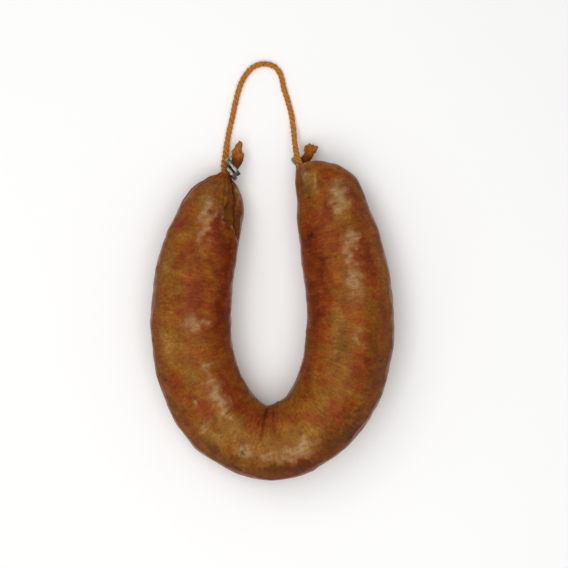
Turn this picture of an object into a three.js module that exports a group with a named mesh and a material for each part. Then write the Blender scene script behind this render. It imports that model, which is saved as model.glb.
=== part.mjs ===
// A horseshoe cured sausage: one filled casing bent into a U, gathered at both ends under an aluminium
// clip, with a cotton hanging string running from clip to clip.
// Millimetres, +Z up. The sausage lies flat: +Y runs from the bend towards the string loop, and the origin
// is on the surface it rests on, under the middle of the sausage and its clips.

import * as THREE from "three";

const UP = new THREE.Vector3(0, 0, 1);

// ---------- driving dimensions ----------

// How the filled casing sits under its own weight.
const SQUASH = 0.94; // height of a lying section over its width
const SINK = 0.06; // share of the half height that the flattened underside takes away
const SIDES = 20; // corners of a section, with one of them straight down
const RINGS_PER_STATION = 3;

// A lying station of the casing: centre x, y and half width. Its underside is flattened on the surface.
const lying = (x, y, halfWidth) => {
  const halfHeight = SQUASH * halfWidth;
  return [x, y, (1 - SINK) * halfHeight, halfWidth, halfHeight];
};
// A raised station, at a gathered end: centre x, y, z, half width and half height.
const raised = (x, y, z, halfWidth, halfHeight) => [x, y, z, halfWidth, halfHeight];
// A raised station that also gives how far its section leans forward per unit of height, and the heading that
// the section faces, in degrees from +X.
const blunt = (...numbers) => numbers;

// The casing from the tip of its left tail, round the bend, to the tip of its right tail.
const LEFT_TAIL = [
  raised(-14.9, 76.6, 7.4, 0.5, 0.5),
  raised(-15.0, 74.8, 7.6, 1.5, 1.1),
  raised(-15.7, 72.2, 7.9, 2.5, 1.4),
  raised(-15.7, 69.5, 8.2, 2.7, 1.5),
  raised(-16.1, 67.0, 8.4, 2.4, 1.3),
];
const LEFT_NECK = [blunt(-18.2, 64.2, 8.5, 2.3, 1.2, 0, -144), raised(-20.3, 61.4, 8.8, 2.4, 1.9)];
const LEFT_SHOULDER = [
  raised(-21.2, 58.6, 9.3, 5.4, 4.8),
  raised(-22.0, 56.0, 10.0, 8.3, 7.6),
  raised(-23.5, 52.9, 10.9, 10.9, 10.2),
];
const LEFT_LEG = [
  lying(-25.7, 48.4, 13.4),
  lying(-28.4, 41.0, 15.5),
  lying(-31.6, 31.0, 16.8),
  lying(-34.8, 16.0, 17.7),
  lying(-36.4, -1.0, 18.1),
];
const BEND = [
  lying(-35.5, -17.0, 18.1),
  lying(-31.8, -32.0, 18.1),
  lying(-25.2, -44.5, 17.8),
  lying(-15.5, -54.0, 17.1),
  lying(-4.0, -59.2, 16.9),
  lying(10.5, -57.2, 17.2),
  lying(21.5, -48.3, 18.0),
  lying(29.0, -36.8, 19.2),
];
const RIGHT_LEG = [
  lying(33.5, -23.5, 19.6),
  lying(35.4, -8.0, 19.8),
  lying(34.9, 7.0, 19.5),
  lying(32.8, 21.0, 19.0),
  lying(29.8, 35.5, 17.8),
  lying(27.0, 46.6, 16.3),
];
const RIGHT_SHOULDER = [
  blunt(25.0, 53.2, 13.6, 14.1, 13.2, 0.1, 104),
  blunt(23.2, 58.8, 12.6, 12.8, 11.6, 0.3, 103),
  blunt(20.6, 62.4, 11.4, 10.0, 9.0, 0.45, 101),
  blunt(17.4, 63.6, 9.8, 6.6, 6.2, 0.6, 99),
  blunt(14.3, 62.0, 7.6, 3.6, 3.5, 0.5, 92),
];
const RIGHT_NECK = [blunt(12.4, 61.6, 5.4, 1.7, 1.4, 0.2, 78), blunt(12.9, 65.6, 5.1, 1.8, 1.2, 0, 60)];
const RIGHT_TAIL = [
  raised(14.9, 68.8, 5.0, 1.9, 1.3),
  raised(16.2, 70.7, 5.7, 2.2, 1.5),
  raised(17.3, 72.4, 6.3, 2.8, 1.5),
  raised(18.0, 73.9, 6.8, 2.3, 1.0),
  raised(18.5, 74.8, 6.8, 0.7, 0.5),
];
const STATIONS = [LEFT_TAIL, LEFT_NECK, LEFT_SHOULDER, LEFT_LEG, BEND, RIGHT_LEG, RIGHT_SHOULDER]
  .concat([RIGHT_NECK, RIGHT_TAIL])
  .flat()
  .map(withHeading);

// The fold on the inside of the bend, where the casing had no room: a crease with a lip bulging past it.
const FOLD_STATION = [LEFT_TAIL, LEFT_NECK, LEFT_SHOULDER, LEFT_LEG].flat().length + 4;
const LIP_HEIGHT = 1.4;
const LIP_TOP = 0.8; // from the crease to the top of the lip, in stations

// The clips: one length of aluminium wire each, bent round the gathered neck, with its two legs side by side
// on top.
const WIRE = 2.0; // across the wire
const WIRE_CORNER = 0.45; // its chamfer
const CLIP_HALF_LENGTH = 4.3; // of the wire's centreline, along the clip
const CLIP_HALF_HEIGHT = 2.85; // of the wire's centreline, up from the neck
const LEG_GAP = 0.3; // between the two legs
const FIRST_TIP = THREE.MathUtils.degToRad(28); // how far up from the clip's end the first leg starts
const LAST_TIP = THREE.MathUtils.degToRad(64); // and the second leg stops
const CLIP_STEPS = 40;
const CLIPS = [
  { name: "clip_left", centre: [-18.2, 64.2, 8.5], neckTurn: 36, tilt: 0 },
  { name: "clip_right", centre: [12.9, 65.6, 5.1], neckTurn: 60, tilt: 20 },
];

// The hanging string: it leaves from under the left neck, lies on the surface in a loop, rises over the right
// clip and ends against the right neck.
const STRING_DIAMETER = 2.5;
const STRING_SIDES = 8;
const STRING_STEPS = 48;
const ON_SURFACE = STRING_DIAMETER / 2 + 0.05; // height of its centreline where it lies
const STRING_ROUTE = [
  [-21.3, 59.6, 2.6],
  [-21.5, 62.6, 2.6],
  [-21.4, 66.5, 2.6],
  [-21.0, 70.8, 2.3],
  [-20.5, 75.5, 1.8],
  [-19.6, 80.8, 1.4],
  [-18.3, 86.4, ON_SURFACE],
  [-16.9, 93.0, ON_SURFACE],
  [-15.2, 100.0, ON_SURFACE],
  [-12.4, 106.4, ON_SURFACE],
  [-8.4, 110.8, ON_SURFACE],
  [-3.4, 112.3, ON_SURFACE],
  [1.4, 110.9, ON_SURFACE],
  [4.1, 107.0, ON_SURFACE],
  [5.5, 101.0, ON_SURFACE],
  [7.4, 95.0, ON_SURFACE],
  [9.0, 88.5, 1.5],
  [9.8, 82.5, 2.9],
  [10.3, 77.0, 5.8],
  [11.0, 72.0, 9.0],
  [11.9, 68.0, 11.2],
  [12.7, 65.9, 11.6],
];

// ---------- materials ----------

const finish = (color, roughness, metalness) =>
  new THREE.MeshStandardMaterial({ color, roughness, metalness });
const casingMaterial = () => finish(0x8a5526, 0.42, 0);
const clipMaterial = () => finish(0xa9aaa6, 0.38, 1);
const stringMaterial = () => finish(0xb5702a, 0.9, 0);

// ---------- shapes ----------

// A closed surface over rings of equally many points each, its two ends closed by a fan to the ring's middle.
function skin(rings) {
  const sides = rings[0].length;
  const middle = (ring) => ring.reduce((sum, p) => sum.add(p), new THREE.Vector3()).divideScalar(sides);
  const points = [...rings.flat(), middle(rings[0]), middle(rings.at(-1))];
  const first = points.length - 2;
  const last = points.length - 1;
  const faces = [];
  for (let side = 0; side < sides; side++) {
    const next = (side + 1) % sides;
    for (let ring = 0; ring < rings.length - 1; ring++) {
      const here = ring * sides;
      const there = here + sides;
      faces.push(here + side, here + next, there + next);
      faces.push(here + side, there + next, there + side);
    }
    const end = (rings.length - 1) * sides;
    faces.push(first, next, side);
    faces.push(last, end + side, end + next);
  }
  return new THREE.BufferGeometry().setFromPoints(points).setIndex(faces);
}

// A station of all seven numbers. Where it gives no lean and heading, its section stands square to the path.
function withHeading(station, index, all) {
  const [x0, y0] = all[Math.max(0, index - 1)];
  const [x1, y1] = all[Math.min(all.length - 1, index + 1)];
  const square = THREE.MathUtils.radToDeg(Math.atan2(y1 - y0, x1 - x0));
  const [, , , , , lean = 0, heading = square] = station;
  return [...station.slice(0, 5), lean, heading];
}

// The station's seven numbers anywhere along the casing, on the smooth curve through all stations.
function stationAt(t) {
  const at = Math.min(Math.floor(t), STATIONS.length - 2);
  const [here, there] = [STATIONS[at], STATIONS[at + 1]];
  const before = STATIONS[at - 1] ?? here.map((v, k) => 2 * v - there[k]);
  const after = STATIONS[at + 2] ?? there.map((v, k) => 2 * v - here[k]);
  const share = t - at;
  return here.map((v, k) => {
    const leave = (there[k] - before[k]) / 2;
    const arrive = (after[k] - v) / 2;
    const cubic = (2 * (v - there[k]) + leave + arrive) * share ** 3;
    const square = (3 * (there[k] - v) - 2 * leave - arrive) * share ** 2;
    return cubic + square + leave * share + v;
  });
}

// How far the lip past the fold bulges at a point of the casing: nothing at the crease, most at the lip's
// top, and only on the inner side of the bend.
function lipBulge(t, inward) {
  const fromTop = Math.abs(t - FOLD_STATION - LIP_TOP) / LIP_TOP;
  return LIP_HEIGHT * Math.max(0, 1 - fromTop) * Math.max(0, inward) ** 3;
}

// One section of the casing. Its corners go round from the outer side of the horseshoe, below first.
function casingSection(t) {
  const [x, y, z, halfWidth, halfHeight, lean, heading] = stationAt(t);
  const forward = new THREE.Vector3(1, 0, 0).applyAxisAngle(UP, THREE.MathUtils.degToRad(heading));
  const outward = forward.clone().cross(UP);
  return Array.from({ length: SIDES }, (_, side) => {
    const turn = (2 * Math.PI * side) / SIDES;
    const across = Math.cos(turn) * halfWidth - lipBulge(t, -Math.cos(turn));
    const height = Math.max(0, z - Math.sin(turn) * halfHeight);
    const corner = new THREE.Vector3(x, y, 0).addScaledVector(outward, across);
    return corner.addScaledVector(forward, lean * (height - z)).setZ(height);
  });
}

function sausage() {
  const count = (STATIONS.length - 1) * RINGS_PER_STATION;
  const rings = Array.from({ length: count + 1 }, (_, ring) => casingSection(ring / RINGS_PER_STATION));
  const mesh = new THREE.Mesh(skin(rings), casingMaterial());
  mesh.name = "sausage";
  return mesh;
}

// A clip in its own frame: the neck runs along X, the clip is long along -Y and its legs are on top, +Z.
// The wire starts at the tip of the first leg, goes over the top, round under the neck and over the top again
// beside itself, as the second leg.
function clipGeometry() {
  const half = WIRE / 2;
  const flat = half - WIRE_CORNER;
  const outline = [[half, -flat], [half, flat], [flat, half], [-flat, half]];
  const section = outline.concat(outline.map(([out, along]) => [-out, -along]));
  const legOffset = (WIRE + LEG_GAP) / 2;
  const turnOfWire = (share) => FIRST_TIP + share * (3 * Math.PI - FIRST_TIP - LAST_TIP);
  const rings = Array.from({ length: CLIP_STEPS + 1 }, (_, step) => {
    const turn = turnOfWire(step / CLIP_STEPS);
    const crossing = THREE.MathUtils.smoothstep(turn, 0.95 * Math.PI, 2.05 * Math.PI);
    const along = legOffset * (1 - 2 * crossing);
    const centre = new THREE.Vector3(
      along,
      -CLIP_HALF_LENGTH * Math.cos(turn),
      CLIP_HALF_HEIGHT * Math.sin(turn),
    );
    const out = new THREE.Vector3(0, -Math.cos(turn) / CLIP_HALF_LENGTH, Math.sin(turn) / CLIP_HALF_HEIGHT);
    out.normalize();
    return section.map(([u, v]) =>
      centre.clone().addScaledVector(out, u).add(new THREE.Vector3(v, 0, 0)),
    );
  });
  return skin(rings);
}

function clip({ name, centre, neckTurn, tilt }) {
  const mesh = new THREE.Mesh(clipGeometry(), clipMaterial());
  mesh.name = name;
  mesh.position.set(...centre);
  mesh.rotation.set(THREE.MathUtils.degToRad(tilt), 0, THREE.MathUtils.degToRad(neckTurn), "ZYX");
  return mesh;
}

function hangingString() {
  const route = new THREE.CatmullRomCurve3(STRING_ROUTE.map((p) => new THREE.Vector3(...p)));
  const section = new THREE.Shape();
  section.absarc(0, 0, STRING_DIAMETER / 2, 0, 2 * Math.PI);
  const geometry = new THREE.ExtrudeGeometry(section, {
    steps: STRING_STEPS,
    extrudePath: route,
    curveSegments: STRING_SIDES / 2,
  });
  const mesh = new THREE.Mesh(geometry, stringMaterial());
  mesh.name = "hanging_string";
  return mesh;
}

// ---------- the part ----------

const part = new THREE.Group();
part.add(sausage(), ...CLIPS.map(clip), hangingString());

export default part;
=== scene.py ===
import math

import bpy
import numpy as np
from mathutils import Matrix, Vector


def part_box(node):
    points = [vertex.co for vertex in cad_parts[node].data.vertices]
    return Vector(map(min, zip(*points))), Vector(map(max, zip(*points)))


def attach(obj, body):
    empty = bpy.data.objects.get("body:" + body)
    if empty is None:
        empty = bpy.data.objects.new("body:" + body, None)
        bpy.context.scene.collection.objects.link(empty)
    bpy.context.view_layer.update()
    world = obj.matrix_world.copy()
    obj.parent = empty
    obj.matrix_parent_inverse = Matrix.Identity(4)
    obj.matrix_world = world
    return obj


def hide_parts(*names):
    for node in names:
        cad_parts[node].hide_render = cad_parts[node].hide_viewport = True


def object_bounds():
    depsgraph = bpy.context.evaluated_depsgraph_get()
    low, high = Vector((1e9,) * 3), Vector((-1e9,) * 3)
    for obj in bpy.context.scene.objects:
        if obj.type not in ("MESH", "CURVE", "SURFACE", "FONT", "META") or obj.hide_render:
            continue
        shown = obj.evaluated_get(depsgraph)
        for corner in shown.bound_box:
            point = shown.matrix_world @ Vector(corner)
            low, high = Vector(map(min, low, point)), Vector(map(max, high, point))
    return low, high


# A horseshoe cured sausage lying flat: one smoked natural casing, gathered under an aluminium clip at each
# end, and a twisted cotton hanging string from clip to clip. Blender's lengths are metres; the shape
# functions work in millimetres, and MM turns their results into metres.

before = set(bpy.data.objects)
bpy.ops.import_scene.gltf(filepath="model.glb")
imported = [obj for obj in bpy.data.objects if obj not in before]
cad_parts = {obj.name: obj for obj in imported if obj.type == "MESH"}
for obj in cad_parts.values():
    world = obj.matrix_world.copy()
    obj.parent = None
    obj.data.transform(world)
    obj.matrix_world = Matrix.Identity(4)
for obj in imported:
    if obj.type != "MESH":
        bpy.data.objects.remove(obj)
cad_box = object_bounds()
MM = 0.001


# ---------- small tools ----------


def linear(colour):
    """An sRGB hex colour, such as "#7e491e", as linear red, green, blue and alpha."""
    shares = [int(colour[k : k + 2], 16) / 255 for k in (1, 3, 5)]
    return [c / 12.92 if c <= 0.04045 else ((c + 0.055) / 1.055) ** 2.4 for c in shares] + [1.0]


def add(tree, kind, inputs=None, stops=(), **settings):
    """Adds a node with its settings. An input is a value, or the output socket that it is linked to. The
    stops of a colour ramp are a position and a colour each."""
    node = tree.nodes.new(kind)
    for name, value in settings.items():
        setattr(node, name, value)
    for _ in stops[2:]:
        node.color_ramp.elements.new(1.0)
    for index, (position, colour) in enumerate(stops):
        node.color_ramp.elements[index].position = position
        node.color_ramp.elements[index].color = linear(colour)
    for name, value in (inputs or {}).items():
        if isinstance(value, bpy.types.NodeSocket):
            tree.links.new(value, node.inputs[name])
        else:
            node.inputs[name].default_value = value
    return node


def smooth(value, low, high):
    """0 below low, 1 above high, and 3x^2 - 2x^3 between them."""
    x = np.clip((value - low) / (high - low), 0, 1)
    return x * x * (3 - 2 * x)


def ripple(points, wavelength, seed, waves=24):
    """A smooth random field of about -1 to 1: the sum of plane sine waves in random directions, whose
    lengths are near the wavelength, divided by 1.6 times the root of half their number."""
    chance = np.random.default_rng(seed)
    direction = chance.normal(size=(waves, points.shape[-1]))
    direction /= np.linalg.norm(direction, axis=1, keepdims=True)
    pace = 2 * math.pi / (wavelength * chance.uniform(0.7, 1.5, size=(waves, 1)))
    phase = chance.uniform(0, 2 * math.pi, size=waves)
    total = np.zeros(points.shape[:-1])
    for turn, start in zip(direction * pace, phase):
        total += np.sin(points @ turn + start)
    return total / math.sqrt(waves / 2) / 1.6


def unit(vectors):
    """The vectors, each divided by its length."""
    return vectors / np.maximum(np.linalg.norm(vectors, axis=-1, keepdims=True), 1e-9)


def curve_through(points, places):
    """The smooth curve through rows of numbers, at places 0 (first row) to n - 1: the uniform Catmull-Rom
    cubic, whose slope at a row is half the step from the row before to the row after."""
    rows = np.vstack([2 * points[0] - points[1], points, 2 * points[-1] - points[-2]])
    first = np.clip(np.floor(places).astype(int), 0, len(points) - 2)
    share = (places - first)[:, None]
    before, here, there, after = (rows[first + k] for k in range(4))
    leave, arrive = (there - before) / 2, (after - here) / 2
    cubic = 2 * (here - there) + leave + arrive
    square = 3 * (there - here) - 2 * leave - arrive
    return ((cubic * share + square) * share + leave) * share + here


def skin(name, grids):
    """A mesh of one or more closed tubes. Each grid is rings of points in millimetres, going round clockwise
    as seen along the tube; each end is closed by a fan to the ring's middle."""
    points, faces, start = [], [], 0
    for grid in grids:
        rings, sides = grid.shape[:2]
        at = start + np.arange(rings * sides).reshape(rings, sides)
        beside = np.roll(at, -1, axis=1)
        quads = np.stack([at[:-1], beside[:-1], beside[1:], at[1:]], axis=-1).reshape(-1, 4)
        first, last = start + rings * sides, start + rings * sides + 1
        near = [(first, b, a) for a, b in zip(at[0].tolist(), beside[0].tolist())]
        far = [(last, a, b) for a, b in zip(at[-1].tolist(), beside[-1].tolist())]
        points += [grid.reshape(-1, 3), grid[:1].mean(axis=1), grid[-1:].mean(axis=1)]
        faces += quads.tolist() + near + far
        start = last + 1
    mesh = bpy.data.meshes.new(name)
    mesh.from_pydata(np.concatenate(points) * MM, [], faces)
    mesh.polygons.foreach_set("use_smooth", np.ones(len(mesh.polygons), bool))
    piece = bpy.data.objects.new(name, mesh)
    bpy.context.scene.collection.objects.link(piece)
    return piece


def paint(piece, name, fields):
    """Stores one number, or one vector, for each vertex of the piece. A field is a grid's worth of values,
    and the two end points of each tube take its first and last ring's mean."""
    whole = [
        part
        for field in fields
        for part in (field.reshape(-1, *field.shape[2:]), field[:1].mean(axis=1), field[-1:].mean(axis=1))
    ]
    values = np.concatenate(whole).astype(np.float32)
    kind, key = ("FLOAT", "value") if values.ndim == 1 else ("FLOAT_VECTOR", "vector")
    piece.data.attributes.new(name, kind, "POINT").data.foreach_set(key, values.ravel())


def tube_frames(centres):
    """The direction, the level side and the upper side of a path, at each of its points."""
    ahead = unit(np.gradient(centres, axis=0))
    level = unit(np.cross(ahead, [0.0, 0.0, 1.0]))
    return ahead, level, np.cross(level, ahead)


# ---------- camera ----------


VIEW_WIDTH = 0.2556  # across the frame, at the casing's mid height
VIEW_OFFSET = (0.0052, -0.0065, -0.001)  # from the middle of the whole box to the middle of the view


def look_down():
    """A long lens straight above, as far off as gives the view its width."""
    low, high = cad_box
    camera = bpy.data.objects.new("camera", bpy.data.cameras.new("camera"))
    camera.data.lens = 200
    camera.data.sensor_width = 36
    x, y, z = ((low[k] + high[k]) / 2 + VIEW_OFFSET[k] for k in range(3))
    camera.location = (x, y, z + VIEW_WIDTH * camera.data.lens / camera.data.sensor_width)
    bpy.context.scene.collection.objects.link(camera)
    bpy.context.scene.camera = camera


look_down()


# ---------- hanging string ----------

STRING_DIAMETER = 2.5
ON_SURFACE = STRING_DIAMETER / 2 + 0.05
STRING_ROUTE = np.array([
    [-19.8, 60.9, 8.6],
    [-21.1, 62.0, 6.6],
    [-21.7, 64.4, 4.1],
    [-21.5, 67.4, 3.1],
    [-21.0, 71.0, 2.5],
    [-20.5, 75.5, 1.8],
    [-19.6, 80.8, 1.4],
    [-18.3, 86.4, ON_SURFACE],
    [-16.9, 93.0, ON_SURFACE],
    [-15.2, 100.0, ON_SURFACE],
    [-12.4, 106.4, ON_SURFACE],
    [-8.4, 110.8, ON_SURFACE],
    [-3.4, 112.3, ON_SURFACE],
    [1.4, 110.9, ON_SURFACE],
    [4.1, 107.0, ON_SURFACE],
    [5.5, 101.0, ON_SURFACE],
    [7.4, 95.0, ON_SURFACE],
    [9.0, 88.5, 1.5],
    [9.8, 82.5, 2.9],
    [10.3, 77.0, 5.8],
    [11.0, 72.0, 9.0],
    [11.9, 68.0, 11.2],
    [12.7, 65.9, 12.1],
    [13.3, 64.3, 12.2],
    [14.1, 62.9, 11.7],
    [14.8, 62.0, 10.4],
])
STRING_RADIUS = 1.3  # to the strands' backs
STRAND_RADIUS = 0.6 * STRING_RADIUS
STRANDS = 3
LAY_LENGTH = 6.5  # one turn of a strand
STRING_STEP = 0.45  # between rings
STRAND_SIDES = 16
HAIRS_PER_MM = 4.5
HAIR_RADIUS = 0.045


def string_material():
    """Twisted cotton, stained by smoke: fine fibres along each strand, orange on their backs and a darker
    brown in the grooves as painted shade, quite matt with a soft fuzz at the edge."""
    material = bpy.data.materials.new("smoked_cotton_string")
    material.use_nodes = True
    tree = material.node_tree
    shader = tree.nodes["Principled BSDF"]
    space = add(tree, "ShaderNodeAttribute", attribute_name="strand_space").outputs["Vector"]
    # Fibres run along the strand: 0.12 mm across, drawn 0.3 mm so that they show, and about 4 mm long.
    along = add(tree, "ShaderNodeMapping", {"Vector": space, "Scale": (250, 3300, 3300)})
    fibre = add(tree, "ShaderNodeTexNoise", {"Vector": along.outputs[0], "Scale": 1.0, "Detail": 4.0})
    stain = add(tree, "ShaderNodeTexNoise", {"Vector": space, "Scale": 260.0, "Detail": 3.0})
    groove = add(tree, "ShaderNodeAttribute", attribute_name="groove").outputs["Fac"]
    tint = add(tree, "ShaderNodeValToRGB", {"Fac": fibre.outputs["Fac"]},
               stops=[(0.3, "#a8641c"), (0.72, "#cc8a36")])
    patch = add(tree, "ShaderNodeMapRange",
                {"Value": stain.outputs["Fac"], "From Min": 0.35, "From Max": 0.7, "To Max": 0.55})
    stained = add(tree, "ShaderNodeMix", {0: patch.outputs[0], 6: tint.outputs[0], 7: linear("#b0651e")},
                  data_type="RGBA")
    # Painted shade: the grooves between the strands are darker brown.
    deep = add(tree, "ShaderNodeMix", {0: groove, 6: stained.outputs[2], 7: linear("#98581c")},
               data_type="RGBA")
    bump = add(tree, "ShaderNodeBump",
               {"Height": fibre.outputs["Fac"], "Distance": 0.00012, "Strength": 0.8})
    tree.links.new(deep.outputs[2], shader.inputs["Base Color"])
    tree.links.new(bump.outputs[0], shader.inputs["Normal"])
    shader.inputs["Roughness"].default_value = 0.85
    shader.inputs["Specular IOR Level"].default_value = 0.15
    shader.inputs["Sheen Weight"].default_value = 0.15
    shader.inputs["Sheen Tint"].default_value = linear("#f0c890")
    shader.inputs["Sheen Roughness"].default_value = 0.5
    return material


def fuzz(centres, length):
    """Short loose fibres all over the string. Each starts inside it and bends outwards, as
    start + way * s + sag * s^2 for s from 0 to 1, with a triangular section that shrinks to a quarter at the
    tip."""
    chance = np.random.default_rng(37)
    count = int(HAIRS_PER_MM * length)
    ahead, level, upper = tube_frames(centres)
    at = chance.integers(2, len(centres) - 4, count)
    angle = chance.uniform(0, 2 * math.pi, count)
    spoke = np.cos(angle)[:, None] * level[at] + np.sin(angle)[:, None] * upper[at]
    lean = chance.uniform(-1.0, 1.0, count)[:, None] * ahead[at]
    way = unit(spoke + lean) * chance.uniform(0.5, 1.1, count)[:, None]
    sag = chance.normal(0, 0.22, (count, 3))
    share = np.linspace(0, 1, 5)[:, None]
    start = (centres[at] + 0.75 * STRING_RADIUS * spoke)[:, None]
    line = start + way[:, None] * share + sag[:, None] * share**2
    line[..., 2] = np.maximum(line[..., 2], 0.1)  # above the floor
    turn = np.linspace(0, 2 * math.pi, 3, endpoint=False)
    across = unit(np.cross(way, ahead[at]))
    other = np.cross(across, unit(way))
    ring = np.cos(turn)[:, None] * across[:, None] + np.sin(turn)[:, None] * other[:, None]
    return line[:, :, None] + HAIR_RADIUS * (1 - 0.75 * share)[:, :, None] * ring[:, None]


def hanging_string():
    """Three strands laid round one route. A strand's middle circles the route once in each lay length, at
    the string's radius less its own, and its section is a circle that swells and thins a little."""
    fine = curve_through(STRING_ROUTE, np.linspace(0, len(STRING_ROUTE) - 1, 2000))
    run = np.concatenate([[0], np.cumsum(np.linalg.norm(np.diff(fine, axis=0), axis=1))])
    steps = np.linspace(0, run[-1], int(run[-1] / STRING_STEP) + 1)
    centres = np.stack([np.interp(steps, run, fine[:, k]) for k in range(3)], axis=1)
    _, level, upper = tube_frames(centres)
    round_route = STRING_RADIUS - STRAND_RADIUS
    turn = np.linspace(0, 2 * math.pi, STRAND_SIDES, endpoint=False)
    # Towards each clip the string is pressed flat, and its strands spread.
    spread = 1 + 0.5 * smooth(-steps, -20, -12) + 0.45 * smooth(steps, run[-1] - 18, run[-1] - 9)
    spread = (spread + 0.4 * smooth(steps, run[-1] - 9, run[-1] - 4))[:, None]
    grids, spaces, grooves = [], [], []
    for strand in range(STRANDS):
        swing = 2 * math.pi * (steps / LAY_LENGTH + strand / STRANDS)
        swing += 0.25 * ripple(steps[:, None] + 90 * strand, 17, seed=31 + strand)
        across, up = np.cos(swing)[:, None] * level, np.sin(swing)[:, None] * upper
        off = round_route * (across * spread + up / spread)
        radius = STRAND_RADIUS * (1 + 0.05 * ripple(steps[:, None] + 90 * strand, 7, seed=41 + strand))
        around = swing[:, None] + turn
        spoke = np.cos(around)[..., None] * level[:, None] + np.sin(around)[..., None] * upper[:, None]
        grids.append((centres + off)[:, None] + radius[:, None, None] * spoke)
        flat = np.broadcast_to(steps[:, None], around.shape)
        circle = [flat + 200 * strand, STRAND_RADIUS * np.cos(around), STRAND_RADIUS * np.sin(around)]
        spaces.append(np.stack(circle, axis=-1) * MM)
        # Painted shade mask: the side of each strand that faces the others.
        grooves.append(np.broadcast_to(smooth(-np.cos(turn), -0.55, 0.5), around.shape))
    for hair in fuzz(centres, run[-1]):
        grids.append(hair)
        spaces.append(hair * MM)
        grooves.append(np.zeros(hair.shape[:2]))
    piece = skin("string_strands", grids)
    paint(piece, "strand_space", spaces)
    paint(piece, "groove", grooves)
    piece.data.materials.append(string_material())
    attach(piece, "root")
    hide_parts("hanging_string")


hanging_string()


# ---------- the filled casing ----------

SQUASH = 0.94  # height of a lying section over its width
SINK = 0.06  # share of the half height that the flattened underside takes away


def lying(x, y, half_width):
    """A station that lies on the surface: centre x, y, z, half width, half height."""
    half_height = SQUASH * half_width
    return [x, y, (1 - SINK) * half_height, half_width, half_height]


LEFT_TAIL = [
    [-14.9, 76.6, 7.4, 0.4, 0.35],
    [-14.9, 75.8, 7.4, 0.9, 0.6],
    [-14.9, 74.4, 7.6, 1.5, 0.9],
    [-15.1, 73.2, 7.7, 1.8, 1.1],
    [-15.8, 72.0, 7.9, 2.5, 1.2],
    [-15.6, 69.6, 8.2, 2.7, 1.3],
    [-16.1, 67.0, 8.4, 2.4, 1.3],
]
# A blunt station also gives how far its section leans forward per unit of height, and the heading it faces.
LEFT_NECK = [[-18.2, 64.2, 8.5, 2.3, 1.2, 0, -144], [-20.3, 61.4, 8.8, 2.4, 1.9]]
LEFT_SHOULDER = [
    [-21.2, 58.6, 9.3, 5.4, 4.8],
    [-22.0, 56.0, 10.0, 8.3, 7.6],
    [-23.5, 52.9, 10.9, 10.9, 10.2],
]
LEFT_LEG = [
    lying(-25.7, 48.4, 13.4),
    lying(-28.4, 41.0, 15.5),
    lying(-31.6, 31.0, 16.8),
    lying(-34.8, 16.0, 17.7),
    lying(-36.4, -1.0, 18.1),
]
BEND = [
    lying(-35.5, -17.0, 18.1),
    lying(-31.8, -32.0, 18.1),
    lying(-25.2, -44.5, 17.8),
    lying(-15.5, -54.0, 17.1),
    lying(-4.0, -59.2, 16.9),
    lying(10.5, -57.2, 17.2),
    lying(21.5, -48.3, 18.0),
    lying(29.0, -36.8, 19.2),
]
RIGHT_LEG = [
    lying(33.5, -23.5, 19.6),
    lying(35.4, -8.0, 19.8),
    lying(34.9, 7.0, 19.5),
    lying(32.8, 21.0, 19.0),
    lying(29.8, 35.5, 17.8),
    lying(27.0, 46.6, 16.3),
]
RIGHT_SHOULDER = [
    [25.0, 53.2, 13.6, 14.1, 13.2, 0.1, 104],
    [23.2, 58.8, 12.6, 12.8, 11.6, 0.3, 103],
    [20.6, 62.4, 11.4, 10.0, 9.0, 0.45, 101],
    [17.4, 63.6, 9.8, 6.6, 6.2, 0.6, 99],
    [14.3, 62.0, 7.6, 3.6, 3.5, 0.5, 92],
]
RIGHT_NECK = [[12.4, 61.6, 5.4, 1.7, 1.4, 0.2, 78], [12.9, 65.6, 5.1, 1.8, 1.2, 0, 60]]
RIGHT_TAIL = [
    [15.2, 68.6, 5.0, 2.2, 1.3],
    [16.4, 70.2, 5.6, 2.2, 1.3],
    [16.9, 71.6, 6.2, 2.6, 1.3],
    [17.6, 73.0, 6.6, 2.8, 1.2],
    [18.1, 74.0, 6.8, 2.6, 0.9],
    [18.5, 74.8, 6.8, 1.9, 0.6],
]
LEFT_SIDE = LEFT_TAIL + LEFT_NECK + LEFT_SHOULDER + LEFT_LEG
RIGHT_SIDE = RIGHT_LEG + RIGHT_SHOULDER + RIGHT_NECK + RIGHT_TAIL
LEFT_CLIP_STATION = len(LEFT_TAIL)
FOLD_STATION = len(LEFT_SIDE) + 4
RIGHT_CLIP_STATION = len(LEFT_SIDE + BEND + RIGHT_LEG + RIGHT_SHOULDER) + 1
LIP_HEIGHT = 1.4
LIP_TOP = 0.8  # stations past the fold

CASING_SIDES = 186
CASING_RADIUS = 17  # a typical one, for patterns that run round the casing
FINE_STEP, LEG_STEP = 0.26, 0.88  # between rings, at the gathered ends and along the legs


def with_headings(stations):
    """All seven numbers of each station. One that gives no lean and heading stands square to the path, on
    the line from the station before to the station after."""
    full = []
    for index, station in enumerate(stations):
        before, after = stations[max(0, index - 1)], stations[min(len(stations) - 1, index + 1)]
        square = math.degrees(math.atan2(after[1] - before[1], after[0] - before[0]))
        full.append(station if len(station) == 7 else station + [0, square])
    return np.array(full, float)


STATIONS = with_headings(LEFT_SIDE + BEND + RIGHT_SIDE)


def ring_places():
    """Where the rings stand, as places along the stations, and each one's distance along the casing: fine
    steps within 18 mm of a tip, long ones from 40 mm on, and a smooth change between them."""
    places = np.linspace(0, len(STATIONS) - 1, 6000)
    middle = curve_through(STATIONS, places)[:, :3]
    run = np.concatenate([[0], np.cumsum(np.linalg.norm(np.diff(middle, axis=0), axis=1))])
    from_tip = np.minimum(run, run[-1] - run)
    step = FINE_STEP + (LEG_STEP - FINE_STEP) * smooth(from_tip, 18, 40)
    count = np.concatenate([[0], np.cumsum(np.diff(run) / step[1:])])
    rings = np.linspace(0, count[-1], int(count[-1]) + 1)
    return np.interp(rings, count, places), np.interp(rings, count, run)


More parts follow.
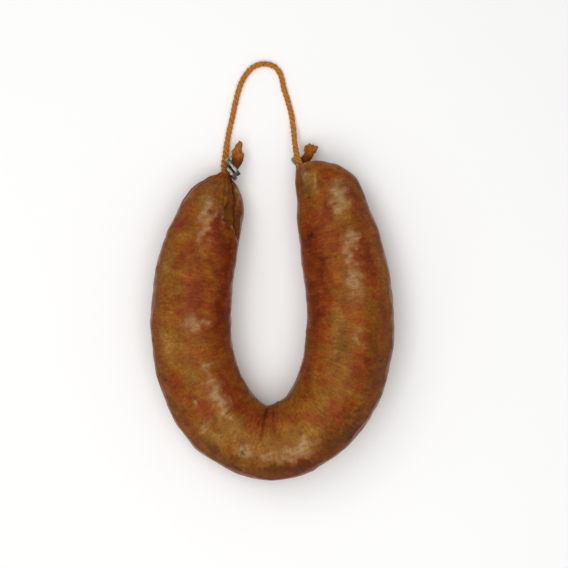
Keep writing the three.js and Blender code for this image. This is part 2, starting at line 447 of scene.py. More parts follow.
def plain_casing(places, turn):
    """The casing without its wrinkles. A point of a section is its centre, plus its half width times the
    cosine of the turn outwards, plus its half height times the sine of the turn upwards. The lip past the
    inner fold adds to the width, the lean pushes what is high forward, and the surface holds the underside
    up."""
    x, y, z, half_width, half_height, lean, heading = curve_through(STATIONS, places).T[:, :, None]
    heading = np.radians(heading)
    inward = np.maximum(0, -np.cos(turn))
    from_top = np.abs(places[:, None] - FOLD_STATION - LIP_TOP) / LIP_TOP
    lip = LIP_HEIGHT * np.maximum(0, 1 - from_top) * inward**3
    across = np.cos(turn) * half_width - lip
    free = z + np.sin(turn) * half_height
    held = (free + np.sqrt(free**2 + 0.5)) / 2 - 0.1
    height = np.where(free > 3, free, np.maximum(held, 0))
    ahead = lean * (height - z)
    return np.stack(
        [
            x + np.sin(heading) * across + np.cos(heading) * ahead,
            y - np.cos(heading) * across + np.sin(heading) * ahead,
            height + 0 * across,
        ],
        axis=-1,
    )


def outward(grid):
    """The unit normals of a grid of rings, from the differences along and round it."""
    along = np.gradient(grid, axis=0)
    round_it = np.roll(grid, -1, axis=1) - np.roll(grid, 1, axis=1)
    return unit(np.cross(round_it, along))


# Creases seen from above: the points that each runs through, its half width and depth, how dark its painted
# shade is, and the share of its length after which it runs out.
CREASES = [
    # the long one from the left clip to the inner edge, beside a flap of the casing
    ([(-18.6, 60.2), (-18.0, 57.7), (-17.0, 52.3), (-16.65, 48.4), (-16.75, 43.6), (-16.5, 38.7),
      (-15.8, 34.3), (-14.6, 30.0)], 0.5, 1.6, 1.0, 0.85),
    # its neighbour, which turns in and meets it
    ([(-20.6, 58.0), (-21.4, 50.0), (-21.6, 44.5), (-20.8, 40.8), (-18.6, 37.2), (-16.2, 34.2)],
     0.6, 0.7, 0.5, 0.9),
    ([(-19.6, 59.6), (-19.3, 55.0), (-19.0, 50.5), (-18.9, 46.0)], 0.45, 0.4, 0.4, 0.6),
    ([(-22.6, 58.2), (-24.6, 54.0), (-26.4, 50.0)], 0.5, 0.35, 0.2, 0.5),
    # the fold on the inside of the bend
    ([(-1.9, -41.0), (-2.6, -46.0), (-3.6, -50.5), (-4.4, -56.0), (-4.4, -63.0)], 0.5, 1.3, 0.75, 0.5),
    # shorter ones left of it
    ([(-17.6, -42.6), (-20.0, -45.4), (-22.2, -48.2)], 0.4, 0.4, 0.6, 0.6),
    ([(-10.8, -36.0), (-13.0, -41.5), (-16.0, -46.0)], 0.5, 0.3, 0.15, 0.5),
    ([(-6.4, -40.0), (-8.4, -45.5), (-10.4, -51.0)], 0.45, 0.3, 0.15, 0.5),
    # at the right shoulder, from the string's end
    ([(13.4, 64.0), (14.6, 60.0), (15.0, 55.5), (14.8, 50.0)], 0.5, 0.5, 0.35, 0.6),
    ([(15.6, 64.6), (18.2, 61.5), (19.4, 57.0), (19.6, 52.0)], 0.6, 0.4, 0.2, 0.5),
    ([(18.0, 66.2), (22.5, 64.2), (26.5, 60.5)], 0.6, 0.35, 0.2, 0.5),
]


# Places where the casing is fuller or drawn in: the middle, its reach along X, Y and Z, and the push there.
SWELLINGS = [
    # the flap beside the long crease
    ((-13.6, 45.0, 8.0), (3.0, 6.5, 7.0), (1.1, 0.0, 0.0)),
    # the left shoulder, which runs up the string's end, and its outer side
    ((-22.6, 60.8, 8.5), (2.0, 2.2, 5.0), (-0.5, 0.9, 0.0)),
    ((-27.2, 59.4, 8.5), (3.2, 2.6, 6.0), (-0.5, 1.4, 0.0)),
    ((-44.5, 42.0, 14.0), (5.0, 9.0, 12.0), (0.9, -0.5, 0.0)),
    # the bottom of the bend
    ((-31.8, -61.5, 12.0), (7.0, 6.0, 11.0), (-0.8, -0.9, 0.0)),
    ((22.5, -69.8, 12.0), (7.0, 5.0, 11.0), (-0.6, 1.0, 0.0)),
    # the right shoulder is full on its outer side, and drawn in below that
    ((38.4, 57.4, 13.0), (5.0, 5.0, 11.0), (1.4, 0.8, 0.0)),
    ((43.6, 45.5, 15.0), (4.0, 6.0, 12.0), (-0.7, -0.2, 0.0)),
]


def line_distance(plan, line):
    """How far each point of the plan is from a bent line, and how far along the line its nearest point is,
    from 0 to 1."""
    line = np.array(line, float)
    lengths = np.linalg.norm(np.diff(line, axis=0), axis=1)
    starts = np.concatenate([[0], np.cumsum(lengths)]) / lengths.sum()
    best = np.full(plan.shape[:-1], np.inf)
    share = np.zeros(plan.shape[:-1])
    for a, b, start, length in zip(line[:-1], line[1:], starts, lengths):
        on = np.clip(((plan - a) @ (b - a)) / length**2, 0, 1)
        distance = np.linalg.norm(plan - a - on[..., None] * (b - a), axis=-1)
        share = np.where(distance < best, start + on * length / lengths.sum(), share)
        best = np.minimum(best, distance)
    return best, share


def creased(plan, above):
    """The depth of all creases and how dark their painted shade is. Each is a valley across its line, deep
    over its first half and running out at its end, with a low soft swelling beside it."""
    wander = np.stack([ripple(plan, 5, seed=51), ripple(plan, 5, seed=52)], axis=-1)
    depth, dark = np.zeros(plan.shape[:-1]), np.zeros(plan.shape[:-1])
    for line, width, deep, darkness, runs_out in CREASES:
        distance, share = line_distance(plan + 0.18 * wander, line)
        fade = above * (1 - smooth(share, runs_out, 1.0)) * smooth(share, -0.3, 0.08)
        depth += fade * deep * (np.exp(-distance / width) - 0.35 * np.exp(-((distance / (4 * width)) ** 2)))
        # Painted shade along the crease's line.
        dark = np.maximum(dark, darkness * fade * np.exp(-((distance / width) ** 2)))
    return depth, dark


# Patches of colour seen from above: centre x, y, half length, half width, and the way it lies, in degrees
# from +X. The kinds are: pale, painted reflection of the soft lamp, in part a dry milky film with fine
# wrinkles; golden, where fat lies under the casing, and painted light on the top of the flap beside the
# long crease; red, where lean meat does; brown, smoked more, and painted shade on the sides of the legs
# and the bend; and dark, stains and peppercorns, and painted shade beside the left creases. Patches that
# overlap strengthen each other.
PATCHES = {
    "pale": [
        (30.2, 50.6, 6.6, 3.8, 96), (28.4, 54.2, 2.6, 3.0, 90), (35.2, 32.0, 4.2, 3.2, 60),
        (33.6, 25.0, 4.0, 1.6, 100), (-29.4, 42.0, 7.0, 2.4, 84), (-28.0, 46.5, 5.0, 2.4, 78),
        (-30.4, 35.5, 5.0, 2.0, 84), (-29.2, -25.0, 3.0, 1.7, 100), (-25.6, -34.0, 6.0, 2.6, 110),
        (-22.4, -40.6, 4.6, 3.0, 125), (-30.0, -52.6, 3.4, 1.6, 60), (-20.5, -45.5, 4.0, 0.8, 135),
        (-33.8, -40.2, 1.8, 1.0, 90), (-12.0, -62.5, 2.6, 3.2, 90), (6.2, -64.2, 11.5, 3.0, 5),
        (14.8, -59.6, 5.0, 2.4, 30), (14.6, 61.0, 4.0, 0.8, 95), (19.6, 57.0, 2.6, 0.6, 92),
        (38.6, -12.6, 3.6, 1.4, 100), (37.0, 14.0, 9.0, 3.2, 95), (-22.0, 43.0, 3.6, 0.5, 97),
        (-34.0, -5.0, 3.0, 5.0, 90), (-15.4, 53.5, 4.0, 0.9, 98), (-17.6, 37.2, 2.6, 0.45, 135),
        (-16.0, 33.2, 1.8, 0.45, 100),
    ],
    "golden": [
        (-21.4, -56.5, 11.0, 6.0, 150), (-20.0, -55.0, 7.0, 4.0, 145), (-16.5, -49.0, 7.0, 3.4, 135),
        (-27.0, -55.0, 8.0, 3.4, 130), (-45.0, -16.0, 7.0, 5.0, 95), (-45.5, 17.0, 10.0, 3.6, 100),
        (17.0, 57.0, 6.5, 4.0, 100), (31.0, -36.0, 6.5, 4.5, 60), (12.0, -56.0, 9.0, 7.0, 10),
        (24.0, 65.2, 6.0, 1.2, 170), (-32.0, 49.0, 6.0, 2.2, 62), (29.0, -5.0, 8.0, 4.0, 95),
        (-6.0, -62.0, 9.0, 5.0, 175), (30.4, 46.0, 6.0, 3.0, 100), (-37.0, -30.0, 6.0, 4.0, 110),
        (-21.5, -47.0, 5.0, 3.0, 130), (19.5, -39.0, 6.0, 4.0, 50), (-38.0, 34.0, 5.0, 3.0, 80),
        # The first two here are painted light on the top of the flap.
        (-15.3, 54.0, 4.6, 1.5, 98), (-15.3, 54.6, 4.0, 1.3, 98), (-17.2, 44.0, 1.6, 0.6, 95),
        (-21.8, 62.0, 1.6, 1.0, 90),
    ],
    "red": [
        (26.6, 61.4, 5.4, 2.4, 165), (38.0, 48.0, 6.5, 2.8, 112), (-41.5, 39.0, 7.0, 3.4, 66),
        (-37.6, 26.0, 6.0, 3.6, 92), (-34.0, 12.0, 7.0, 3.4, 95), (21.5, 56.0, 5.0, 1.2, 95),
        (-24.8, 38.0, 8.0, 2.4, 84), (20.0, 38.0, 7.0, 4.0, 95), (21.0, 25.0, 19.0, 6.0, 97),
        (20.0, 1.0, 13.0, 5.0, 90), (-21.5, 22.0, 18.0, 4.0, 97), (-22.6, -3.0, 14.0, 4.4, 90),
        (-16.6, -38.0, 10.0, 4.6, 130), (-1.0, -47.4, 13.0, 4.0, 178), (30.5, -46.0, 8.0, 4.4, 50),
        (-29.5, -45.0, 6.0, 4.0, 120), (-43.0, -33.0, 7.0, 4.0, 115), (43.0, 22.0, 13.0, 4.0, 105),
        (41.0, -24.0, 11.0, 4.0, 80), (28.0, 31.0, 5.0, 3.0, 90), (-20.4, 40.0, 5.5, 3.0, 95),
        (-21.5, 29.0, 8.0, 4.0, 95), (13.5, -69.0, 9.0, 2.6, 15), (-36.5, 4.0, 8.0, 5.0, 90),
        (24.0, 45.0, 5.0, 2.4, 95),
    ],
    "brown": [
        (33.8, 56.0, 4.4, 1.4, 130), (-19.0, 45.5, 5.5, 2.4, 93), (-16.6, 39.0, 5.0, 1.2, 96),
        (-13.8, 40.5, 5.0, 1.4, 84), (4.0, -70.5, 14.0, 2.4, 5), (27.0, -60.5, 9.0, 2.6, 40),
        (-27.0, -61.0, 9.0, 2.0, 145), (-18.6, 54.0, 5.0, 1.6, 95), (-18.6, 50.0, 8.0, 1.4, 92),
        (-14.4, 41.5, 4.6, 1.4, 84), (-19.6, 41.0, 3.4, 1.4, 60), (-16.0, 59.0, 3.0, 0.8, 100),
        (17.6, 50.0, 6.0, 2.0, 95), (13.6, 57.0, 6.0, 1.2, 95), (-21.0, 30.0, 6.0, 2.4, 95),
        (36.0, -52.0, 7.0, 3.0, 45), (-40.0, -46.0, 6.0, 2.0, 120), (44.8, -16.0, 14.0, 3.6, 84),
        (26.5, -54.5, 9.0, 3.4, 42), (30.5, -16.0, 11.0, 3.0, 78), (41.6, 31.0, 12.0, 2.0, 103),
        (-24.6, -9.0, 8.0, 2.2, 92),
    ],
    "dark": [
        (-20.2, 46.4, 3.6, 1.5, 95), (-20.4, 46.8, 2.4, 1.2, 90), (-33.6, -38.3, 0.9, 0.7, 90),
        (-12.2, -63.0, 1.0, 0.6, 90), (18.0, 33.2, 0.9, 0.8, 0), (24.4, 19.2, 1.0, 0.8, 0),
        (28.1, 23.8, 0.7, 0.6, 0), (22.2, 23.6, 1.6, 1.2, 0), (23.6, 48.2, 1.6, 1.0, 80),
        (33.4, -46.6, 2.4, 1.6, 20), (38.6, -44.4, 2.2, 0.7, 35), (34.8, -56.3, 2.6, 0.7, 40),
        (19.1, -68.0, 0.8, 0.6, 0), (-15.1, -31.0, 1.6, 1.0, 70), (48.4, -22.7, 0.9, 0.7, 0),
        (-47.2, -31.0, 0.9, 0.7, 0), (16.2, 51.6, 2.4, 0.9, 95), (-44.0, 46.0, 3.0, 1.0, 55),
        (-16.7, 40.0, 5.0, 0.7, 96), (-15.4, -70.6, 2.6, 0.6, 150), (18.0, 33.0, 1.5, 1.2, 0),
    ],
}


def patched(plan, above):
    """How strongly each kind of patch shows. A patch is 1 in its middle and falls away as the bell curve of
    the distance in its own ellipse, whose edge small ripples break up."""
    wander = np.stack([ripple(plan, 6, seed=61), ripple(plan, 6, seed=62)], axis=-1) * 1.3
    wander += np.stack([ripple(plan, 2.2, seed=63), ripple(plan, 2.2, seed=64)], axis=-1) * 0.45
    shows = {}
    for kind, patches in PATCHES.items():
        total = np.zeros(plan.shape[:-1])
        for x, y, half_length, half_width, way in patches:
            stray = min(1, half_width / 1.5)
            off = plan + stray * wander - (x, y)
            c, s = math.cos(math.radians(way)), math.sin(math.radians(way))
            length = (off @ (c, s)) / half_length
            width = (off @ (-s, c)) / half_width
            total = total + np.exp(-((length**2 + width**2) ** 1.3))
        shows[kind] = np.minimum(total, 1.3) * above
    return shows


def casing_material():
    """Smoked natural casing, shrunk onto a coarse filling: a thin half-glossy skin, golden over fat and red
    over lean meat, with fine wrinkles across it that catch the light. Its colour carries painted shade in
    hollows and creases, and painted reflection in pale patches."""
    material = bpy.data.materials.new("smoked_natural_casing")
    material.use_nodes = True
    tree = material.node_tree
    shader = tree.nodes["Principled BSDF"]

    space = add(tree, "ShaderNodeAttribute", attribute_name="casing_space").outputs["Vector"]
    place = add(tree, "ShaderNodeTexCoord").outputs["Object"]
    tone, film, shade, stretched, spare = (
        add(tree, "ShaderNodeAttribute", attribute_name=name).outputs["Fac"]
        for name in ("tone", "film", "shade", "stretched", "spare")
    )

    # Fine wrinkles run round the casing: 0.8 mm apart and 6 mm long.
    fine = add(tree, "ShaderNodeMapping", {"Vector": space, "Scale": (1250, 165, 165)})
    wrinkle = add(tree, "ShaderNodeTexNoise", {"Vector": fine.outputs[0], "Scale": 1.0, "Detail": 4.0,
                                               "Roughness": 0.6, "Distortion": 0.5})
    # The filling under the film: grains of 4 mm down to 0.3 mm, and crumbs of 1 mm.
    grain = add(tree, "ShaderNodeTexNoise",
                {"Vector": place, "Scale": 240.0, "Detail": 5.0, "Roughness": 0.66})
    crumb = add(tree, "ShaderNodeTexNoise",
                {"Vector": place, "Scale": 950.0, "Detail": 3.0, "Roughness": 0.6})

    # The tone, between lean red and fatty gold, is moved by grains, crumbs and wrinkles.
    moved = tone
    for noise, strength in [(grain, 2.9), (crumb, 1.6), (wrinkle, stretched)]:
        centred = add(tree, "ShaderNodeMath", {0: noise.outputs["Fac"], 1: 0.5}, operation="SUBTRACT")
        moved = add(tree, "ShaderNodeMath", {0: centred.outputs[0], 1: strength, 2: moved},
                    operation="MULTIPLY_ADD").outputs[0]
    spread = add(tree, "ShaderNodeMapRange", {"Value": moved, "From Min": -1.5, "From Max": 1.5})
    ramp = add(tree, "ShaderNodeValToRGB", {"Fac": spread.outputs[0]}, stops=[
        (0.0, "#6f2a0e"), (0.28, "#823a13"), (0.5, "#834a13"), (0.74, "#8a5a1e"), (1.0, "#9b6e35")
    ])
    # Painted shade in the hollows between the crumbs and wrinkles, and painted light on their tops.
    relief = add(tree, "ShaderNodeMath", {0: crumb.outputs["Fac"], 1: 0.8, 2: wrinkle.outputs["Fac"]},
                 operation="MULTIPLY_ADD")
    value = add(tree, "ShaderNodeMapRange", {"Value": relief.outputs[0], "From Min": 0.55, "From Max": 1.25,
                                             "To Min": 0.74, "To Max": 1.16})
    # Smoke lies unevenly, in stains of 7 mm down to 0.5 mm.
    stain = add(tree, "ShaderNodeTexNoise",
                {"Vector": place, "Scale": 150.0, "Detail": 5.0, "Roughness": 0.68})
    stained = add(tree, "ShaderNodeMapRange", {"Value": stain.outputs["Fac"], "From Min": 0.3,
                                               "From Max": 0.7, "To Min": 0.72, "To Max": 1.28})
    both = add(tree, "ShaderNodeMath", {0: value.outputs[0], 1: stained.outputs[0]}, operation="MULTIPLY")
    # The tails are casing with nothing in it: lighter and more orange, for light comes through.
    thin = add(tree, "ShaderNodeMix", {0: spare, 6: ramp.outputs[0], 7: linear("#a66426")},
               data_type="RGBA")
    valued = add(tree, "ShaderNodeHueSaturation", {"Color": thin.outputs[2], "Value": both.outputs[0]})

    # Pale patches: painted reflection of the soft lamp, in part a milky film dried loose, in threads along
    # the wrinkles.
    threads = add(tree, "ShaderNodeMapRange", {"Value": relief.outputs[0], "From Min": 0.7, "From Max": 1.15,
                                               "To Min": 0.38, "To Max": 0.72})
    milky_and_reflected = add(tree, "ShaderNodeMath", {0: film, 1: threads.outputs[0]}, operation="MULTIPLY")
    pale_and_reflected = add(tree, "ShaderNodeMix", {0: milky_and_reflected.outputs[0], 6: valued.outputs[0], 7: linear("#b4956c")},
                 data_type="RGBA")
    darkened = add(tree, "ShaderNodeMix", {0: shade, 6: pale_and_reflected.outputs[2], 7: linear("#2e1404")},
                   data_type="RGBA")

    # Peppercorns and smoke specks: in one of five cells 6 mm across, and 0.8 mm wide.
    cells = add(tree, "ShaderNodeTexVoronoi", {"Vector": place, "Scale": 165.0})
    speck = add(tree, "ShaderNodeMapRange",
                {"Value": cells.outputs["Distance"], "From Min": 0.15, "From Max": 0.05, "To Max": 0.6})
    chosen = add(tree, "ShaderNodeSeparateColor", {"Color": cells.outputs["Color"]})
    few = add(tree, "ShaderNodeMath", {0: chosen.outputs[0], 1: 0.8}, operation="GREATER_THAN")
    specks = add(tree, "ShaderNodeMath", {0: speck.outputs[0], 1: few.outputs[0]}, operation="MULTIPLY")
    speckled = add(tree, "ShaderNodeMix",
                   {0: specks.outputs[0], 6: darkened.outputs[2], 7: linear("#3a1a06")}, data_type="RGBA")

    gloss = add(tree, "ShaderNodeMapRange", {"Value": grain.outputs["Fac"], "From Min": 0.3, "From Max": 0.7,
                                             "To Min": 0.34, "To Max": 0.52})
    bump = add(tree, "ShaderNodeBump", {"Height": relief.outputs[0], "Distance": 0.00022, "Strength": 0.8})

    tree.links.new(speckled.outputs[2], shader.inputs["Base Color"])
    tree.links.new(gloss.outputs[0], shader.inputs["Roughness"])
    tree.links.new(bump.outputs[0], shader.inputs["Normal"])
    shader.inputs["IOR"].default_value = 1.45
    # Dried fat keeps the gloss from widening on the sides, and a narrow pale rim is left at the outline.
    facing = add(tree, "ShaderNodeLayerWeight", {"Blend": 0.5}).outputs["Facing"]
    level = add(tree, "ShaderNodeMapRange",
                {"Value": facing, "From Min": 0.2, "From Max": 0.6, "To Min": 0.18, "To Max": 0.03})
    rim = add(tree, "ShaderNodeMapRange",
              {"Value": facing, "From Min": 0.66, "From Max": 0.84, "To Max": 0.75})
    glossy = add(tree, "ShaderNodeMath", {0: level.outputs[0], 1: rim.outputs[0]}, operation="MAXIMUM")
    tree.links.new(glossy.outputs[0], shader.inputs["Specular IOR Level"])
    shader.inputs["Specular Tint"].default_value = linear("#ffdfb8")
    shader.inputs["Subsurface Weight"].default_value = 0.08
    shader.inputs["Subsurface Radius"].default_value = (1.0, 0.35, 0.15)
    shader.inputs["Subsurface Scale"].default_value = 0.0015
    return material


def pleats(places, run, turn, space, radius):
    """How deep the gathers round each clip are: valleys along the casing, |sin| of half the number of pleats
    times the turn, which fade with the distance from the clip."""
    depth = 0
    for station, count, seed in [(LEFT_CLIP_STATION, 15, 21), (RIGHT_CLIP_STATION, 17, 22)]:
        away = np.abs(run - np.interp(station, places, run))[:, None]
        swing = count / 2 * turn + 0.9 * ripple(space * (0.5, 0.25, 0.25), 9, seed=seed)
        valley = (1 - np.abs(np.sin(swing))) ** 1.6
        ring = np.stack([np.cos(turn), np.sin(turn)], axis=-1)
        uneven = 0.65 + 0.5 * ripple(ring, 1.4, seed=seed + 5)
        depth = depth + np.minimum(1.2 * np.exp(-away / 9.5), 0.26 * radius) * valley * uneven
    return depth


def swollen(grid):
    """Pushes the casing out or in at the swellings, as the bell curve of the distance in each one's reach,
    and draws out the brim that the right shoulder pushes over its clip, beside the string."""
    for middle, reach, push in SWELLINGS:
        off = (grid - middle) / reach
        grid = grid + np.exp(-((off**2).sum(axis=-1)))[..., None] * push
    off = (grid - (14.6, 66.2, 11.2)) / (2.4, 2.0, 1.8)
    brim = 2.0 * np.exp(-((off**2).sum(axis=-1))) * smooth(grid[..., 2], 9.0, 10.4)
    return grid + brim[..., None] * (-0.1, 1.0, 0.15)


def wrinkled(grid, places, run, turn, space, tail):
    """Moves each point of the plain casing along its normal by the sum of: the lumps of the filling,
    wrinkles round the casing, pleats fanning out from each clip, the crumple of the tails, and the creases.
    Also gives how dark the painted shade in the creases is, and how much each point faces up."""
    normal = outward(grid)
    above = smooth(normal[..., 2], -0.1, 0.25)
    radius = curve_through(STATIONS, places)[:, 4][:, None]

    lumps = 0.2 * ripple(grid, 17, seed=11) + 0.12 * ripple(grid, 6.5, seed=12)
    threads = ripple(space * (1, 0.16, 0.16), 2.6, seed=13, waves=40)
    patchy = smooth(ripple(grid, 22, seed=14), -0.4, 0.7)
    crumple = 0.42 * ripple(grid, 2.6, seed=15) + 0.2 * ripple(grid, 1.1, seed=16)
    move = smooth(radius, 3, 10) * (lumps + 0.07 * patchy * threads) + tail * crumple
    depth, dark = creased(grid[..., :2], above)
    move = move - pleats(places, run, turn, space, radius) - depth * smooth(radius, 2, 5)
    return swollen(grid + normal * move[..., None]), dark, above


def ragged(grid, places):
    """Tears the tips of the tails: the last rings' points are pushed on or held back along the tail by
    ripples round the ring."""
    last = len(STATIONS) - 1
    middle = grid.mean(axis=1)
    turn = np.linspace(0, 2 * math.pi, grid.shape[1], endpoint=False)
    ring = np.stack([np.cos(turn), np.sin(turn)], axis=-1)
    for near_tip, way, seed in [
        (smooth(-places, -3.0, -0.3), middle[0] - middle[30], 17),
        (smooth(places, last - 3.0, last - 0.4), middle[-1] - middle[-30], 18),
    ]:
        reach = 1.1 * ripple(ring, 0.7, seed=seed)
        grid = grid + near_tip[:, None, None] * reach[:, None] * way / np.linalg.norm(way)
    return grid


def casing_colours(grid, places, turn, space, tail, dark, above):
    """The fields that the casing's material reads: tone, from lean red below 0 to fatty gold above it, and
    redder on the sides as painted shade; the pale field, how milky, which is partly dried skin and partly
    painted reflection; shade, how dark, from painted shade and from stains; stretched, how strongly wrinkles
    show; and spare, how empty and thin."""
    shows = patched(grid[..., :2], above)
    out = np.cos(turn) + 0 * places[:, None]
    hidden = 1 - above
    since_fold = (places - FOLD_STATION)[:, None]
    past_left_clip = (LEFT_CLIP_STATION - places)[:, None]
    past_right_clip = (places - RIGHT_CLIP_STATION)[:, None]
    near_clip = np.minimum(np.abs(past_left_clip), np.abs(past_right_clip))

    broad = 0.5 * ripple(space * (0.5, 1, 1), 14, seed=71) + 0.35 * ripple(grid, 6, seed=72)
    tone = 0.72 * shows["golden"] - 0.86 * shows["red"] + broad * (0.56 + 0.34 * hidden)
    # Painted shade: the inner side is made redder and darker, though less in the bend, and so is the
    # outermost strip.
    in_bend = np.exp(-((since_fold / 2.2) ** 2))
    tone = tone - 0.3 * smooth(-out, 0.3, 0.9) * (1 - 1.6 * in_bend) - 0.25 * smooth(out, 0.45, 0.95)
    # The gathers at the clips are redder, and the tails are mottled.
    tone = tone - 0.5 * (1 - tail) * (1 - smooth(near_clip, 0.6, 2.4))
    tone = tone + 1.2 * tail * (ripple(grid, 3.5, seed=76) - 1 + smooth(near_clip, 1.2, 3.2))

    empty = np.maximum(smooth(past_left_clip, 0.9, 2.4), smooth(past_right_clip, 1.4, 3.4))
    spare = tail * (0.25 + 0.75 * empty) * (0.85 + 0.25 * ripple(grid, 4, seed=75))

    # The pale field: painted reflection of the soft lamp in the pale patches, in part a dry milky film, with
    # pale mottling on the sides that face down.
    film = shows["pale"] * (0.75 + 0.4 * ripple(grid, 3, seed=73))
    film = film + hidden * 0.2 * smooth(ripple(grid, 12, seed=74), 0.3, 1.0)

    # Dark: painted shade in the creases and on the outer side, most of all from the bend on; stains, the
    # brown patches and the foot of the left tail are darker too.
    left_foot = np.exp(-(((past_left_clip - 1.2) / 0.7) ** 2))
    shade = np.maximum(0.85 * dark, 0.62 * shows["dark"])
    shade = np.maximum(shade, 0.3 * shows["brown"] + 0.45 * left_foot)
    shade = shade + 0.1 * smooth(out, 0.55, 0.95) * (1 - tail)
    # Painted shade on the outer side, from just before the bend's fold to the right leg.
    outer_side_shade = smooth(since_fold, -2.4, -0.4) * (1 - smooth(since_fold, 4.0, 6.0))
    shade = shade + 0.2 * outer_side_shade * smooth(out, 0.35, 0.7)
    return {
        "tone": tone,
        "film": np.clip(film, 0, 1),
        "shade": np.clip(shade, 0, 1),
        "stretched": 0.7 + 1.1 * np.exp(-((since_fold / 3.2) ** 2)) + 0 * tone,
        "spare": np.clip(spare, 0, 1),
    }


def casing():
    """The whole skin in one piece: the plain casing, wrinkled, torn at its tips and laid on the surface."""
    turn = -math.pi / 2 - np.linspace(0, 2 * math.pi, CASING_SIDES, endpoint=False)
    places, run = ring_places()
    # The distance along the casing and the place on a circle round it, for what runs along or round.
    across, up = CASING_RADIUS * np.cos(turn), CASING_RADIUS * np.sin(turn)
    space = np.stack(np.broadcast_arrays(run[:, None], across, up), axis=-1)
    tail = np.maximum(smooth(LEFT_CLIP_STATION - places, 0.8, 2.2),
                      smooth(places - RIGHT_CLIP_STATION, 0.8, 2.0))[:, None]
    grid, dark, above = wrinkled(plain_casing(places, turn), places, run, turn, space, tail)
    grid = ragged(grid, places)
    grid[..., 2] = np.maximum(grid[..., 2], 0.02)

    piece = skin("casing", [grid])
    paint(piece, "casing_space", [space * MM])
    for name, field in casing_colours(grid, places, turn, space, tail, dark, above).items():
        paint(piece, name, [field])
    piece.data.materials.append(casing_material())
    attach(piece, "root")
    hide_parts("sausage")


casing()


# ---------- clips ----------

WIRE = 2.0
CLIP_HALF_LENGTH, CLIP_HALF_HEIGHT = 4.3, 2.85  # of the wire's centreline
BEND_RADIUS = 3.4  # a typical one, for marks that run along the wire
LEG_GAP = 0.3
FIRST_TIP, LAST_TIP = math.radians(28), math.radians(64)  # how far up from the clip's end each leg stops
# The neck's turn from +X and the clip's tilt round the neck, in degrees.
CLIPS = {"clip_left": (36, 0), "clip_right": (60, 20)}
WIRE_RINGS = 150  # besides four at each blunt tip
WIRE_SIDES = 28
SQUARENESS = 3.2


def clip_material():
    """Soft aluminium wire, pressed shut: satin, with faint lengthwise draw marks and small dents. Its colour
    runs from grey to a warm near-black, as scuffs and as painted reflection of dark warm surroundings.
    """
    material = bpy.data.materials.new("pressed_aluminium_wire")
    material.use_nodes = True
    tree = material.node_tree
    shader = tree.nodes["Principled BSDF"]
    space = add(tree, "ShaderNodeAttribute", attribute_name="wire_space").outputs["Vector"]
    # Draw marks: 0.1 mm apart, drawn 0.25 mm so that they show, and 6 mm long.
    drawn = add(tree, "ShaderNodeMapping", {"Vector": space, "Scale": (160, 4000, 4000)})
    marks = add(tree, "ShaderNodeTexNoise", {"Vector": drawn.outputs[0], "Scale": 1.0, "Detail": 2.0})
    scuffs_and_reflection = add(tree, "ShaderNodeTexNoise", {"Vector": space, "Scale": 700.0, "Detail": 4.0})
    # Tint from warm near-black to grey: scuffs, and painted reflection of dark warm surroundings.
    tint = add(tree, "ShaderNodeValToRGB", {"Fac": scuffs_and_reflection.outputs["Fac"]},
               stops=[(0.32, "#241e16"), (0.6, "#93918a")])
    gloss = add(tree, "ShaderNodeMapRange",
                {"Value": scuffs_and_reflection.outputs["Fac"], "To Min": 0.22, "To Max": 0.45})
    both = add(tree, "ShaderNodeMath", {0: scuffs_and_reflection.outputs["Fac"], 1: 1.5, 2: marks.outputs["Fac"]},
               operation="MULTIPLY_ADD")
    bump = add(tree, "ShaderNodeBump", {"Height": both.outputs[0], "Distance": 0.00006, "Strength": 0.6})
    tree.links.new(tint.outputs[0], shader.inputs["Base Color"])
    tree.links.new(gloss.outputs[0], shader.inputs["Roughness"])
    tree.links.new(bump.outputs[0], shader.inputs["Normal"])
    shader.inputs["Metallic"].default_value = 1.0
    return material


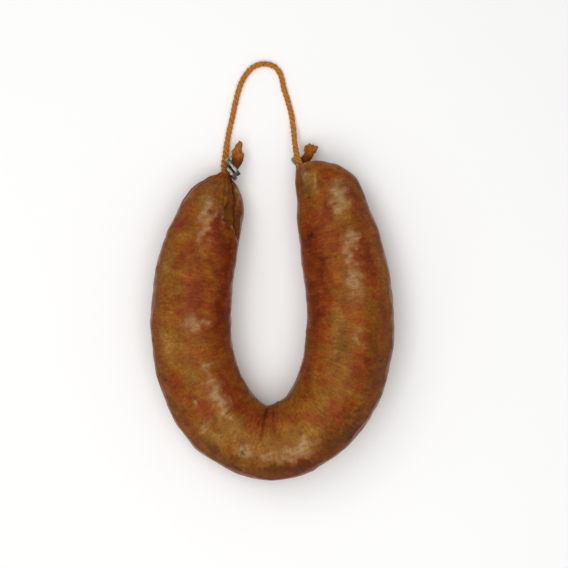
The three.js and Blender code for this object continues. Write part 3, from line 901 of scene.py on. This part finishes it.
def clip(name, metal):
    """Wire bent round the neck one and a half times, from one leg's tip over the top, under the neck and
    over the top again beside itself. Its path is an ellipse that slides sideways by a wire's width as it
    passes below; its section is |u|^p + |v|^p = 1, a square with round corners, and narrows at both tips."""
    neck_turn, tilt = (math.radians(angle) for angle in CLIPS[name])
    tip, narrowing = np.array([0, 0.001, 0.003, 0.007]), np.array([0.45, 0.72, 0.88, 0.97])
    share = np.concatenate([tip, np.linspace(0.013, 0.987, WIRE_RINGS), 1 - tip[::-1]])
    blunt = np.concatenate([narrowing, np.ones(WIRE_RINGS), narrowing[::-1]])
    turn = FIRST_TIP + share * (3 * math.pi - FIRST_TIP - LAST_TIP)
    slide = (WIRE + LEG_GAP) / 2 * (1 - 2 * smooth(turn, 0.95 * math.pi, 2.05 * math.pi))
    centres = np.stack([slide, -CLIP_HALF_LENGTH * np.cos(turn), CLIP_HALF_HEIGHT * np.sin(turn)], axis=1)
    slope = [0 * turn, -np.cos(turn) / CLIP_HALF_LENGTH, np.sin(turn) / CLIP_HALF_HEIGHT]
    out = unit(np.stack(slope, axis=1))
    side = np.array([1.0, 0, 0])
    angle = np.linspace(0, 2 * math.pi, WIRE_SIDES, endpoint=False)
    powers = np.abs(np.cos(angle)) ** SQUARENESS + np.abs(np.sin(angle)) ** SQUARENESS
    reach = WIRE / 2 * powers ** (-1 / SQUARENESS) * blunt[:, None]
    dented = np.broadcast_arrays(5 * turn[:, None], 1.5 * np.cos(angle), 1.5 * np.sin(angle))
    reach = reach * (1 + 0.03 * ripple(np.stack(dented, axis=-1), 2.2, seed=81))
    outwards, sideways = reach * np.cos(angle), reach * np.sin(angle)
    grid = centres[:, None] + outwards[..., None] * out[:, None] + sideways[..., None] * side
    wire_run = BEND_RADIUS * turn[:, None]
    space = np.stack(np.broadcast_arrays(wire_run, outwards, sideways), axis=-1)

    c, s = math.cos(tilt), math.sin(tilt)
    tilted = grid @ np.array([[1, 0, 0], [0, c, s], [0, -s, c]])
    c, s = math.cos(neck_turn), math.sin(neck_turn)
    turned = tilted @ np.array([[c, s, 0], [-s, c, 0], [0, 0, 1]])
    low, high = (np.array(corner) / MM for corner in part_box(name))
    middle = (turned.reshape(-1, 3).min(axis=0) + turned.reshape(-1, 3).max(axis=0)) / 2
    piece = skin(name + "_wire", [turned + (low + high) / 2 - middle])
    paint(piece, "wire_space", [space * MM])
    piece.data.materials.append(metal)
    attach(piece, "root")
    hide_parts(name)


metal = clip_material()
for clip_name in CLIPS:
    clip(clip_name, metal)


# ---------- surroundings ----------


def floor():
    """A plain pale surface under the sausage."""
    material = bpy.data.materials.new("pale_floor")
    material.use_nodes = True
    shader = material.node_tree.nodes["Principled BSDF"]
    shader.inputs["Base Color"].default_value = linear("#fbfbfa")
    shader.inputs["Roughness"].default_value = 0.9
    shader.inputs["Specular IOR Level"].default_value = 0.1
    mesh = bpy.data.meshes.new("floor")
    reach = 3.0
    corners = [(-reach, -reach, 0), (reach, -reach, 0), (reach, reach, 0), (-reach, reach, 0)]
    mesh.from_pydata(corners, [], [(0, 1, 2, 3)])
    mesh.materials.append(material)
    piece = bpy.data.objects.new("floor", mesh)
    bpy.context.scene.collection.objects.link(piece)


def softbox(name, place, size, power):
    """A square lamp that faces the sausage's middle."""
    lamp = bpy.data.lights.new(name, "AREA")
    lamp.size = size
    lamp.energy = power
    holder = bpy.data.objects.new(name, lamp)
    holder.location = place
    towards = np.array([0.0, 0.0, 0.015]) - np.array(place)
    tip_up = math.acos(-towards[2] / np.linalg.norm(towards))
    holder.rotation_euler = (tip_up, 0, math.atan2(towards[1], towards[0]) - math.pi / 2)
    holder.visible_camera = False
    bpy.context.scene.collection.objects.link(holder)


def studio():
    """Even pale light all round, a large soft lamp on the near side and a smaller one behind."""
    world = bpy.data.worlds.new("studio")
    bpy.context.scene.world = world
    world.use_nodes = True
    world.node_tree.nodes["Background"].inputs["Color"].default_value = linear("#ffffff")
    world.node_tree.nodes["Background"].inputs["Strength"].default_value = 0.4
    softbox("key", (-0.02, -0.2, 0.8), 0.8, 4.3)
    softbox("top", (-0.35, 0.35, 0.8), 0.5, 1.8)
    bpy.context.scene.view_settings.view_transform = "Standard"


floor()
studio()
